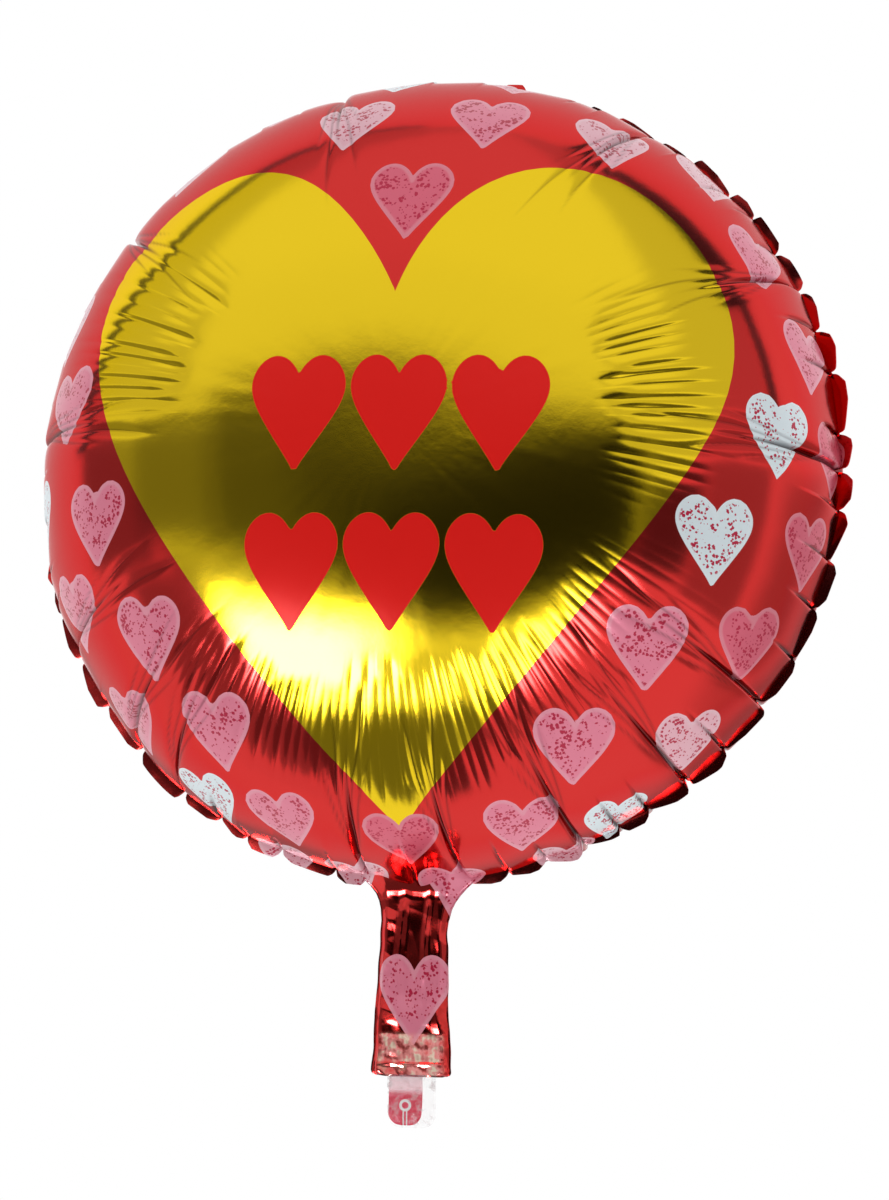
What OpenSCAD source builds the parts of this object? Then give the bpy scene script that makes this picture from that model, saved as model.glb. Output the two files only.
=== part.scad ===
// Round foil balloon, blown up, with its flat neck hanging down and its
// self-sealing film valve. Millimetres. The front faces -Y and +Z is up.
// The origin is on the rim seam's lowest point, where the neck is tied.
//
// The two foil discs take the shape that a flat disc takes when gas fills it:
// at the angle q, from 0 at the middle of a face to 90 at the rim, the radius
// is rim_r sin(q), and the depth grows by rim_r sin(q)^2 / sqrt(1 + sin(q)^2).

/* [Foil discs] */
// Diameter of each flat foil disc before it is blown up, 18 inches
sheet_d = 457; // [430:1:510]
// Width of the heat-sealed margin round the rim
seam_w = 8; // [6:0.5:10]
// How deep the balloon is blown up, as a share of the fullest shape
fill = 0.97; // [0.85:0.01:1]
// Wall that stands in for the thin foil
foil_t = 0.5; // [0.4:0.05:0.6]

/* [Neck] */
// Length of the foil neck from the rim to its cut edge
neck_l = 80; // [65:1:100]
// Width of the neck where it is narrowest
neck_w = 28; // [28:0.5:31]
// Width of the neck at its cut edge
neck_end_w = 34; // [32:0.5:38]
// Height of the narrowest place below the rim
waist_z = 14; // [10:1:20]
// Height of the middle of the welded band below the rim
weld_z = 69; // [45:1:72]
// Height of the welded band
weld_h = 11; // [6:1:14]

/* [Valve] */
// Width of the two valve films inside the neck
film_w = 22; // [18:0.5:22]
// Wall that stands in for one valve film
film_t = 0.4; // [0.3:0.05:0.4]
// Gap between the films, where the gas passes
passage = 0.4; // [0.35:0.05:0.4]
// Thickness that stands in for the printed release coat
coat_t = 0.25; // [0.15:0.05:0.25]
// How far the valve films reach up into the balloon
sleeve_l = 55; // [30:1:90]
// How far the release coat reaches up inside the neck
coat_l = 40; // [25:1:60]

/* [Tongue] */
// Width of the filling tongue
tongue_w = 20; // [16:0.5:21]
// Length of the tongue below the neck's cut edge
tongue_l = 21; // [18:1:30]
// Distance from the neck's cut edge to the loose front lip
lip_start = 5; // [4:0.5:8]

/* [Hidden] */

$fn = 96;
e = 1;                    // how far a cutting shape runs past what it cuts
rings = 30;               // straight steps in each face's outline
flat_ratio = 1.31103;     // flat radius over blown-up radius, by the rule above

rim_r = (sheet_d / 2 - seam_w) / flat_ratio;

// Layers of the flat neck, from the middle plane outwards.
stack_t = 2 * film_t + passage + coat_t;
front_film_y = -stack_t / 2;
passage_y = front_film_y + film_t;
coat_y = passage_y + passage;
back_film_y = coat_y + coat_t;
tube_half = 1.3;          // from the middle plane to the neck foil's inside
tube_w = film_w + 1;      // width over which the neck stands open
tube_slope = 2;           // width in which it closes to the side margins
neck_half = tube_half + foil_t;

// The hinges lie far enough from the edges for the sheets to turn freely.
neck_gap = 1.5;           // from the rim to the neck's top edge
neck_hinge_z = -3.5;
throat_w = film_w + 4;    // slot in the rim that the valve passes through
throat_half = 1.3;
side_gap = 1.5;           // between the neck's flare and the rim seam
flare_w = 5;              // by which the neck widens again up to the rim
tongue_gap = 0.8;         // from the neck's cut edge to the tongue
lip_gap = 0.6;            // from the end of the joined front film to the lip
lip_short = 1.2;          // by which the lip is shorter than the tongue
weld_w = 2;               // width of each side weld between the films
corner_share = 0.4;       // rounding of the tongue's end, over its width

// The fullest shape's depth is summed up in small steps from the rim inwards.
step_q = 90 / rings;
function depth_step(q) = rim_r * pow(sin(q), 2) / sqrt(1 + pow(sin(q), 2)) * step_q * PI / 180;
outer_face = [
    for (i = 0, y = 0; i <= rings; y = y + depth_step(90 - (i + 0.5) * step_q), i = i + 1)
        [rim_r * sin(90 - i * step_q), y * fill]
];
function outward(q) = [pow(sin(q), 2), cos(q) * sqrt(1 + pow(sin(q), 2))];
inner_face = [
    for (i = [rings:-1:0]) outer_face[i] - foil_t * outward(90 - i * step_q)
];

// Width of the neck's outline at the height z below the rim: a smooth waist
// near the top, and straight sides that spread towards the cut edge.
function neck_half_w(z) = z < waist_z
    ? (neck_w + flare_w * pow(1 - z / waist_z, 2)) / 2
    : (neck_w + (neck_end_w - neck_w) * (z - waist_z) / (neck_l - waist_z)) / 2;
outline_z = [for (i = [0:12]) neck_gap + (waist_z - neck_gap) * i / 12];

// Points across half of the flat tube: margin, slope, flat, slope, margin.
tube_line = [[-neck_end_w, 0], [-tube_w / 2 - tube_slope, 0], [-tube_w / 2, -tube_half],
             [tube_w / 2, -tube_half], [tube_w / 2 + tube_slope, 0], [neck_end_w, 0]];

// A box given by its lowest and highest corners.
module block(low, high) {
    translate(low) cube(high - low);
}

// A box as wide as w, centred on x = 0, between two y and two z values.
module slab(w, y0, y1, z0, z1) {
    block([-w / 2, y0, z0], [w / 2, y1, z1]);
}

// One blown-up foil disc, its middle towards -Y and its rim in the plane y = 0.
module face() {
    difference() {
        translate([0, 0, rim_r])
            rotate([90, 0, 0])
                rotate_extrude()
                    polygon(concat(outer_face, inner_face));
        slab(throat_w, -throat_half, throat_half, -e, 4);
    }
}

// One half of the flat foil tube, cut to the neck's outline.
module neck_half_tube() {
    right = [for (z = outline_z) [neck_half_w(z), -z]];
    left = [for (i = [len(outline_z) - 1:-1:0]) [-neck_half_w(outline_z[i]), -outline_z[i]]];
    foot = [[neck_end_w / 2, -neck_l], [-neck_end_w / 2, -neck_l]];
    intersection() {
        translate([0, 0, -neck_l - e])
            linear_extrude(neck_l + e)
                polygon(concat([for (p = tube_line) p],
                               [for (i = [5:-1:0]) tube_line[i] - [0, foil_t]]));
        rotate([90, 0, 0])
            translate([0, 0, -2 * neck_half])
                linear_extrude(4 * neck_half)
                    polygon(concat(right, foot, left));
    }
}

// The tongue's outline with a round end, between two y values.
module tongue_sheet(w, y0, y1, z_top, z_end) {
    corner_r = corner_share * w;
    translate([0, y1, 0])
        rotate([90, 0, 0])
            linear_extrude(y1 - y0)
                intersection() {
                    union() {
                        translate([-w / 2, z_end + corner_r])
                            square([w, z_top - z_end]);
                        translate([-w / 2 + corner_r, z_end])
                            square([w - 2 * corner_r, corner_r]);
                        for (side = [-1, 1])
                            translate([side * (w / 2 - corner_r), z_end + corner_r])
                                circle(corner_r);
                    }
                    translate([-w / 2, z_end])
                        square([w, z_top - z_end]);
                }
}

// Two thin welds that close the sides of a film pair as wide as w.
module side_welds(w, z0, z1) {
    for (side = [-1, 1])
        translate([side * (w - weld_w) / 2, 0, 0])
            slab(weld_w, passage_y, back_film_y, z0, z1);
}

module front_panel() {
    color("crimson") face();
}

module back_panel() {
    color("firebrick") mirror([0, 1, 0]) face();
}

module rim_seam() {
    gap_w = neck_w + flare_w + 2 * side_gap;
    color("darkred")
        difference() {
            translate([0, foil_t, rim_r])
                rotate([90, 0, 0])
                    rotate_extrude()
                        translate([rim_r, 0])
                            square([seam_w, 2 * foil_t]);
            slab(gap_w, -seam_w, seam_w, -2 * seam_w, seam_w);
        }
}

module sleeve_front_film() {
    color("gainsboro") slab(film_w, front_film_y, passage_y, -neck_gap / 2, sleeve_l);
}

module sleeve_back_film() {
    color("lightgray") slab(film_w, back_film_y, stack_t / 2, -neck_gap / 2, sleeve_l);
}

module sleeve_side_welds() {
    color("silver") side_welds(film_w, -neck_gap / 2, sleeve_l);
}

module neck_front() {
    color("crimson") neck_half_tube();
}

module neck_back() {
    color("firebrick") mirror([0, 1, 0]) neck_half_tube();
}

module neck_weld() {
    color("indianred")
        for (side = [-1, 1])
            translate([0, side * (stack_t / 2 + tube_half) / 2, 0])
                slab(film_w, -(tube_half - stack_t / 2) / 2, (tube_half - stack_t / 2) / 2,
                     -weld_z - weld_h / 2, -weld_z + weld_h / 2);
}

module valve_front_film() {
    color("gainsboro") slab(film_w, front_film_y, passage_y, -neck_l, -neck_gap);
}

module valve_back_film() {
    color("lightgray") slab(film_w, back_film_y, stack_t / 2, -neck_l, -neck_gap);
}

module valve_side_welds() {
    color("silver") side_welds(film_w, -neck_l, -neck_gap);
}

module release_coat() {
    color("hotpink") slab(film_w - 3 * weld_w, coat_y, back_film_y, -neck_l, -neck_l + coat_l);
}

module tongue_back_film() {
    color("lightgray")
        tongue_sheet(tongue_w, back_film_y, stack_t / 2, -neck_l - tongue_gap, -neck_l - tongue_l);
}

module tongue_front_film() {
    color("gainsboro")
        slab(tongue_w, front_film_y, passage_y, -neck_l - lip_start, -neck_l - tongue_gap);
}

module tongue_side_welds() {
    color("silver") side_welds(tongue_w, -neck_l - lip_start, -neck_l - tongue_gap);
}

module tongue_coat() {
    color("hotpink")
        tongue_sheet(tongue_w - 3 * weld_w, coat_y, back_film_y,
                     -neck_l - tongue_gap, -neck_l - tongue_l + lip_short);
}

module front_lip() {
    color("gainsboro")
        tongue_sheet(tongue_w, front_film_y, passage_y,
                     -neck_l - lip_start - lip_gap, -neck_l - tongue_l + lip_short);
}

front_panel();
back_panel();
rim_seam();
sleeve_front_film();
sleeve_back_film();
sleeve_side_welds();
neck_front();
neck_back();
neck_weld();
valve_front_film();
valve_back_film();
valve_side_welds();
release_coat();
tongue_back_film();
tongue_front_film();
tongue_side_welds();
tongue_coat();
front_lip();
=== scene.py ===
# %% [markdown]
# # A printed foil balloon
# The real thing is two round sheets of thin printed film, coated with metal
# on the inside and welded together at the rim, with a flat neck of the same
# sheets below and a clear film valve in the neck. This lesson builds each
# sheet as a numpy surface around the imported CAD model, prints it, and sets
# a plain studio round it. Every size here is in millimetres until it goes
# into a mesh, where MM turns it to metres.

# %% Load the frame and read the driving sizes
import math

import bpy
import numpy as np
from mathutils import Matrix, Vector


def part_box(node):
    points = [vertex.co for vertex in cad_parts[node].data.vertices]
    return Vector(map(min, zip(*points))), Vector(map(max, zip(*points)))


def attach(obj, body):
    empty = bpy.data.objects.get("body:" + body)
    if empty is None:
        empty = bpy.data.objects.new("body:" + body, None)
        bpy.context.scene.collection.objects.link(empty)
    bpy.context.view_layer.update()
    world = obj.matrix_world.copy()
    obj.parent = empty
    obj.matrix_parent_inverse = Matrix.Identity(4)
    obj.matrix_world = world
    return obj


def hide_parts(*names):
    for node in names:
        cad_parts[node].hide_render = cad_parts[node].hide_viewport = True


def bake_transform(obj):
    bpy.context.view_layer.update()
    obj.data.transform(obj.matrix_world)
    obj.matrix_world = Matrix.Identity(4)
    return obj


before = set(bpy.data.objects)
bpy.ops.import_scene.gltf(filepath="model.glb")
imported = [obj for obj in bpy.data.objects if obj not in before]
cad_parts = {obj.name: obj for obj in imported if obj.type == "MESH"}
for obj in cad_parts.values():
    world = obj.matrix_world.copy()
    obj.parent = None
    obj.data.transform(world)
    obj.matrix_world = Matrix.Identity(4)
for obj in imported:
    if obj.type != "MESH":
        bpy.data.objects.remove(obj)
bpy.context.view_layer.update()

MM = 0.001


def cad_span(node):
    """Lowest and highest corner of a CAD node, in millimetres."""
    low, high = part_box(node)
    return np.array(low) / MM, np.array(high) / MM


face_low, face_high = cad_span("front_panel")
seam_low, seam_high = cad_span("rim_seam")
neck_low, neck_high = cad_span("neck_front")
tongue_low, tongue_high = cad_span("tongue_back_film")
RIM_R = (face_high[0] - face_low[0]) / 2        # radius of the welded line
DEPTH = -face_low[1]                            # from the rim's plane to a face's middle
SEAM_W = seam_high[0] - RIM_R                   # width of the welded margin
CENTRE_Z = RIM_R                                # the rim's lowest point is the origin
NECK_END = neck_low[2]                          # height of the neck's cut edge
TONGUE_END = tongue_low[2]                      # height of the tongue's tip
print(f"rim radius {RIM_R:.1f} mm, half depth {DEPTH:.1f} mm, margin {SEAM_W:.1f} mm")

# %% [markdown]
# ## How a flat disc fills
# A flat disc can't stretch, so when gas fills two welded discs the middle
# domes up and the rim is pulled in. The rule for that shape gives the radius
# and the depth at each angle q from the middle to the rim. Summing small
# steps gives a table, and the table is read by the distance along the sheet,
# because the print and the creases are known by their place on the sheet.

# %% The filled disc's table
q_table = np.linspace(0, math.pi / 2, 2001)
sheet_step = RIM_R / np.sqrt(1 + np.sin(q_table) ** 2)
depth_step = sheet_step * np.sin(q_table) ** 2


def running_sum(values):
    """Sum of the steps between neighbours, by the trapezium rule, starting at 0."""
    middle = (values[1:] + values[:-1]) / 2 * np.diff(q_table)
    return np.concatenate([[0], np.cumsum(middle)])


sheet_table = running_sum(sheet_step)
depth_table = running_sum(depth_step)
FLAT_R = sheet_table[-1]                        # flat radius out to the weld
FILL = DEPTH / depth_table[-1]
print(f"flat radius {FLAT_R:.1f} mm, filled to {FILL:.2f} of the full depth")

# %% [markdown]
# ## Small tools
# A smooth step, a seeded soft noise and a sharp fold are all the wrinkles
# need. A foil keeps straight sharp creases, which noise alone can't give, so
# the fold is a zigzag: the distance to the nearest of many parallel lines.

# %% Shape helpers
def smooth(x, low, high):
    """0 below low, 1 above high, with a smooth start and end in between."""
    t = np.clip((x - low) / (high - low), 0, 1)
    return t * t * (3 - 2 * t)


def soft_noise(u, v, seed, cells=64):
    """Random heights from -1 to 1 at whole numbers of u and v, blended smoothly between them.
    It repeats every `cells` along u."""
    heights = np.random.default_rng(seed).uniform(-1, 1, (cells, 256))
    u0, v0 = np.floor(u).astype(int), np.floor(v).astype(int)
    fu, fv = u - u0, v - v0
    fu, fv = fu * fu * (3 - 2 * fu), fv * fv * (3 - 2 * fv)
    pick = lambda a, b: heights[(u0 + a) % cells, (v0 + b) % 256]
    near = pick(0, 0) * (1 - fu) + pick(1, 0) * fu
    far = pick(0, 1) * (1 - fu) + pick(1, 1) * fu
    return near * (1 - fv) + far * fv


def zigzag(x, y, angle, period, phase=0.0):
    """Height from 0 to 1 of sharp straight folds: the distance across the folds, taken back and
    forth within each period."""
    across = x * math.cos(angle) + y * math.sin(angle)
    return np.abs((across / period + phase) % 1 - 0.5) * 2


def turn_gap(a, b):
    """Signed angle from b to a, brought between minus and plus half a turn."""
    return (a - b + math.pi) % (2 * math.pi) - math.pi


def add_mesh(name, points, *face_blocks):
    """A smooth mesh object from points in millimetres and blocks of faces, each block an array
    with one face a row."""
    mesh = bpy.data.meshes.new(name)
    faces = [face for block in face_blocks for face in block.tolist()]
    mesh.from_pydata(points * MM, [], faces)
    mesh.validate()
    mesh.shade_smooth()
    thing = bpy.data.objects.new(name, mesh)
    bpy.context.collection.objects.link(thing)
    return thing


def grid_faces(rows, columns, closed=False, flip=False):
    """Four-cornered faces between the neighbours of a grid of points, joined round the columns
    if closed."""
    last = columns if closed else columns - 1
    row, column = np.meshgrid(np.arange(rows - 1), np.arange(last), indexing="ij")
    beside = (column + 1) % columns
    corners = [row * columns + column, row * columns + beside,
               (row + 1) * columns + beside, (row + 1) * columns + column]
    if flip:
        corners = corners[::-1]
    return np.stack(corners, -1).reshape(-1, 4)


def set_values(thing, name, values):
    """Stores one number for each point of a mesh, for its material to read."""
    layer = thing.data.attributes.new(name, "FLOAT", "POINT")
    layer.data.foreach_set("value", np.asarray(values, np.float32).ravel())


def set_uv(thing, flat_x, flat_z):
    """Stores each point's place on the flat sheet as the UV map, one unit a millimetre."""
    layer = thing.data.uv_layers.new(name="sheet_mm")
    corner = np.empty(len(thing.data.loops), np.int32)
    thing.data.loops.foreach_get("vertex_index", corner)
    place = np.stack([np.ravel(flat_x)[corner], np.ravel(flat_z)[corner]], -1)
    layer.data.foreach_set("uv", place.astype(np.float32).ravel())


# %% [markdown]
# ## The artwork on the flat sheet
# The sheet is printed flat, so the artwork is drawn on the flat sheet: x to
# the right and z up, from the disc's middle. One heart curve serves the big
# gold heart, the small scattered ones and the two plain rows in the middle.
# Each shape is kept as a distance to its edge, less than 0 inside, because a
# distance blends evenly between mesh points and cuts to a crisp edge.

# %% Heart curve and edge distance
HEART_COSINES = (130, -55, -15, -10, -4)        # sizes of cos t, cos 2t and so on
HEART_POWER = 2.4                               # the higher, the more pointed at both ends


def heart_outline(width, height, count=120):
    """Points round a heart: across, a power of sin t; up, five cosines that give the lobes, the
    notch and the point."""
    t = np.linspace(0, 2 * math.pi, count, endpoint=False)
    across = np.sign(np.sin(t)) * np.abs(np.sin(t)) ** HEART_POWER
    up = sum(size * np.cos(order * t) for order, size in enumerate(HEART_COSINES, 1))
    up = (up - up.min()) / (up.max() - up.min()) - 0.5
    return np.stack([across * width / 2, up * height], -1)


def edge_distance(x, z, outline):
    """Distance from each point to a closed outline, less than 0 inside: the nearest of its
    straight sides, with inside told by counting the sides crossed."""
    nearest = np.full(x.shape, 1e9)
    inside = np.zeros(x.shape, bool)
    for start, end in zip(outline, np.roll(outline, -1, axis=0)):
        side = end - start
        along = ((x - start[0]) * side[0] + (z - start[1]) * side[1]) / (side @ side)
        along = np.clip(along, 0, 1)
        gap_x, gap_z = x - start[0] - along * side[0], z - start[1] - along * side[1]
        nearest = np.minimum(nearest, gap_x ** 2 + gap_z ** 2)
        if start[1] != end[1]:
            crosses = (start[1] > z) != (end[1] > z)
            inside ^= crosses & (x < start[0] + (z - start[1]) / side[1] * side[0])
    return np.where(inside, -1, 1) * np.sqrt(nearest)


def heart_distance(x, z, place, width, height, rounding=0.0):
    """Edge distance of one heart at a place, its corners rounded by growing a smaller heart. Far
    from the heart a plain distance to the circle round it will do."""
    outline = heart_outline(width - 2 * rounding, height - 2 * rounding) + np.array(place)
    reach = max(width, height) / 2
    distance = np.hypot(x - place[0], z - place[1]) - reach
    close = distance < reach
    distance[close] = edge_distance(x[close], z[close], outline) - rounding
    return distance


# %% [markdown]
# ### Where each heart is printed
# One gold heart fills the middle of the sheet and two rows of three plain red
# hearts stand on it. Small hearts in four tones are scattered all round,
# turned the same way up. The tones are numbers, so that one mesh value can
# carry them to the ink.

# %% Places of the printed hearts
GOLD_HEART = (3, -27.5, 277, 287, 2.5)          # x, z, width, height, rounding
LOBE_LEAN, LOBE_TOP = 6, 110                    # the lobes are printed this far to the left of the point
SMALL_W, SMALL_H, SMALL_ROUND = 35, 37, 1.0
DEEP, PINK, PALE, WHITE = -0.5, 0.0, 0.5, 1.0
small_hearts = [
    (2, 95, DEEP), (29, 141, PINK), (-31, 141, PALE), (84, 139, PALE), (133, 140, PALE),
    (156, 94, PINK), (184, 50, PINK), (163, 5, WHITE), (134, -43, WHITE), (187, -44, DEEP),
    (108, -89, PINK), (157, -88, DEEP), (79, -132, PINK), (133, -136, PALE), (57, -174, PINK),
    (104, -182, WHITE), (2, -181, DEEP), (-54, -172, PINK), (-75, -127, PINK), (-104, -87, PINK),
    (-131, -38, PINK), (-154, -76, PINK), (-130, -128, PINK), (-156, 17, PINK), (-188, -30, WHITE),
    (-95, -166, WHITE), (-175, 62, PALE), (-120, 140, PALE), (-80, 178, PINK), (-20, 190, WHITE),
    (36, 190, PINK), (20, -222, PINK), (-30, -218, PALE), (80, -212, PALE), (1, -270, PINK),
    (206, 4, DEEP), (-72, -212, PALE),
]
MOTIF_W, MOTIF_H, MOTIF_ROUND = 39, 47, 1.5
motif_rows = [(4, 4), (4, -60)]                 # middle x and height of the two rows
MOTIF_STEP = 41


def artwork(x, z):
    """Edge distances of the gold heart, the red rows and the nearest small heart, and that small
    heart's tone."""
    gold_x, gold_z, gold_w, gold_h, gold_round = GOLD_HEART
    leant = x + LOBE_LEAN * smooth(z, 0, LOBE_TOP)
    gold = heart_distance(leant, z, (gold_x, gold_z), gold_w, gold_h, gold_round)
    motif = np.full(x.shape, 1e3)
    for middle, height in motif_rows:
        for column in (-1, 0, 1):
            place = (middle + column * MOTIF_STEP, height)
            distance = heart_distance(x, z, place, MOTIF_W, MOTIF_H, MOTIF_ROUND)
            motif = np.minimum(motif, distance)
    small = np.full(x.shape, 1e3)
    tone = np.zeros(x.shape)
    for hx, hz, shade in small_hearts:
        distance = heart_distance(x, z, (hx, hz), SMALL_W, SMALL_H, SMALL_ROUND)
        tone = np.where(distance < small, shade, tone)
        small = np.minimum(small, distance)
    return {"gold_edge": gold, "motif_edge": motif, "small_edge": small, "small_tone": tone}


def print_on(thing, flat_x, flat_z):
    """Prints the artwork on a sheet: its flat place as the UV map and the edge distances as numbers."""
    set_uv(thing, flat_x, flat_z)
    for name, values in artwork(np.ravel(flat_x), np.ravel(flat_z)).items():
        set_values(thing, name, values)


print(f"{len(small_hearts)} small hearts, {3 * len(motif_rows)} red hearts in rows")

# %% [markdown]
# ## Where the rim is pinched
# The rim loses a quarter of its length as it fills, and the spare sheet is
# taken up in pinches. Fourteen of them run far in as long creases, and the
# others are short. All are shared by the front, the back and the welded
# margin, so they are one list, which each surface reads.

# %% Pinches round the rim
rng = np.random.default_rng(18)
long_creases = np.radians([-152, -136, -127, -97, -83, -66, -49, -34, 1, 28, 59, 105, 144, 177])
PINCH_STEP = math.radians(6.6)                  # about 20 mm of rim
short_list = []
for here, there in zip(long_creases, np.append(long_creases[1:], long_creases[0] + 2 * math.pi)):
    count = max(1, round((there - here) / PINCH_STEP))
    share = (np.arange(1, count) + rng.uniform(-0.22, 0.22, count - 1)) / count
    short_list.extend(here + share * (there - here))
short_pinches = turn_gap(np.array(short_list), 0)
pinches = np.sort(np.concatenate([long_creases, short_pinches]))
short_depth = rng.uniform(1.2, 2.8, len(short_pinches))
short_reach = rng.uniform(24, 48, len(short_pinches))
long_depth = rng.uniform(5.0, 6.5, len(long_creases))
print(f"{len(long_creases)} long creases and {len(short_pinches)} short pinches")


def fold(across, slot, lean):
    """Cross section of a folded crease, 1 deep: a narrow slot, and a shoulder that is short on one
    side and long on the other."""
    shoulder = np.where(across * lean > 0, 1.2, 4.6)
    return 0.62 * np.exp(-(across / slot) ** 2) + 0.38 * np.exp(-np.abs(across) / shoulder)


# the finer lines beside a long crease: how far each spreads sideways for a millimetre inwards, and
# how far from the weld it ends
fine_rays = ((-0.3, 84), (-0.13, 112), (0.1, 124), (0.24, 92))


def crease_shape(phi, sheet):
    """How far the creases pull the sheet in, and how dark the painted shade inside each fold is, from 0 to
    1. Each is deep at the rim and fades inwards. A long one is joined by a few finer lines that spread
    from it inwards, with painted shade along them too."""
    radius = np.interp(sheet, sheet_table, RIM_R * np.sin(q_table))
    height = np.zeros(np.broadcast(phi, sheet).shape)
    closed = height.copy()
    for index, (place, depth) in enumerate(zip(long_creases, long_depth)):
        across = turn_gap(phi, place) * radius
        height -= depth * smooth(sheet, FLAT_R - 92, FLAT_R - 18) * fold(across, 0.75, (-1) ** index)
        strength = smooth(sheet, FLAT_R - 96, FLAT_R - 52)
        closed = np.maximum(closed, strength * np.exp(-(across / 0.7) ** 2))
        for ray, inner_end in fine_rays:
            start = FLAT_R - inner_end
            along = smooth(sheet, start, start + 26) * (1 - smooth(sheet, FLAT_R - 46, FLAT_R - 24))
            off = across - ray * (RIM_R - radius) + 0.6 * np.sin(sheet / 9 + index)
            height -= 0.62 * along * np.exp(-np.hypot(off, 0.2) / 1.1)
            closed = np.maximum(closed, 0.5 * along * np.exp(-(off / 0.5) ** 2))
    for place, depth, reach in zip(short_pinches, short_depth, short_reach):
        across = turn_gap(phi, place) * radius
        strength = smooth(sheet, FLAT_R - reach, FLAT_R - 0.4 * reach)
        height -= depth * strength * fold(across, 0.7, 1 if depth > 2 else -1)
        closed = np.maximum(closed, strength ** 2 * np.exp(-(across / 0.65) ** 2))
    return height, closed


def facet_tilt(phi, sheet):
    """Each facet between two pinches lies a little askew, so that its end laps over the next
    one's start."""
    facet = np.searchsorted(pinches, turn_gap(phi, 0)) % len(pinches)
    span = (pinches[facet] - pinches[facet - 1]) % (2 * math.pi)
    share = ((phi - pinches[facet - 1]) % (2 * math.pi)) / span
    pick = np.random.default_rng(91)
    lap = pick.uniform(0.5, 1.7, len(pinches)) * np.where(pick.uniform(size=len(pinches)) > 0.3, 1, -1)
    return lap[facet] * (share - 0.5) * smooth(sheet, FLAT_R - 46, FLAT_R - 16)


def corner_flat(phi):
    """How far the rim lies inside a true circle, since it runs straight from one pinch to the
    next: the sag of each chord below its arc."""
    corners = np.sort(np.concatenate([long_creases, short_pinches[short_depth > 1.55]]))
    index = np.searchsorted(corners, turn_gap(phi, 0)) % len(corners)
    after, before = corners[index], corners[index - 1]
    gap = (after - before) % (2 * math.pi)
    offset = (phi - before) % (2 * math.pi) - gap / 2
    return -1.1 * RIM_R * (1 - np.cos(gap / 2) / np.cos(offset))


def rim_wave(phi):
    """How far the welded line wanders to the front or back of the rim's plane."""
    return 1.3 * soft_noise(phi / (2 * math.pi) * 26, 0 * phi + 3.5, 5, 26)


# %% [markdown]
# ## The two foil discs
# Each disc is a polar grid of the sheet. Its points go to the filled shape
# and are then moved along the surface's own direction: in at the creases,
# up and down in the fine pleats that fan out half way to the rim, and out
# towards the neck, where the sheet is drawn down into a funnel.

# %% Pleats and dents
PLEATED_TO = 150                                # the mesh is finest this far out
# each fan of pleats: its middle and half width in degrees, inner end, outer end and height
pleat_fans = np.array([
    [156, 17, 88, 178, 0.95], [9, 22, 88, 148, 0.95],
    [-118, 19, 106, 172, 0.55], [-66, 36, 95, 176, 0.55]])


def pleat_lines(seed):
    """Angles of the pleats, with each one's height, inner end and outer end. They lie in four
    fans, closer together at the bottom."""
    pick = np.random.default_rng(seed)
    lines, at = [], -math.pi
    while at < math.pi - 0.03:
        lines.append(at)
        step = 2.0 if -2.4 < at < -0.5 else 2.6
        at += math.radians(step) * pick.uniform(0.78, 1.22)
    lines = np.array(lines)
    gaps = turn_gap(lines[:, None], np.radians(pleat_fans[:, 0]))
    weight = np.exp(-(gaps / np.radians(pleat_fans[:, 1])) ** 4)
    share = weight / weight.sum(1, keepdims=True)
    count = len(lines)
    strength = weight.max(1) * (share @ pleat_fans[:, 4]) * pick.uniform(0.55, 1.25, count)
    start = share @ pleat_fans[:, 2] + pick.uniform(-4, 7, count)
    end = share @ pleat_fans[:, 3] - pick.uniform(0, 16, count)
    return lines, strength, start, end


def pleat_height(phi, sheet, seed):
    """Fine radial pleats: each a narrow valley along a ray that starts sharply at its inner end
    and runs out slowly at its outer one. The valley's upper side is the steeper."""
    lines, strength, start, end = pleat_lines(seed)
    angle = turn_gap(phi, 0)
    after = np.searchsorted(lines, angle) % len(lines)
    radius = np.interp(sheet, sheet_table, RIM_R * np.sin(q_table))
    height = 0 * angle
    for near in (after, after - 1):
        across = turn_gap(angle, lines[near]) * radius
        along = smooth(sheet, start[near], start[near] + 9)
        along = along * (1 - smooth(sheet, end[near] - 34, end[near]))
        width = np.where(across * np.cos(lines[near]) > 0, 1.2, 2.4)
        height = height - strength[near] * along * np.exp(-np.hypot(across, 0.25) / width)
    return height


def dent_height(phi, sheet, seed):
    """Slow unevenness of the tight sheet, and faint rays from the middle."""
    x, z = sheet * np.cos(phi), sheet * np.sin(phi)
    slow = 0.35 * soft_noise(x / 60 + 32, z / 60 + 40, seed + 2)
    rays = 0.03 * soft_noise(phi / (2 * math.pi) * 90, sheet / 70, seed + 3, 90)
    return slow * smooth(sheet, 20, 90) + rays * smooth(sheet, 15, 60)


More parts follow.
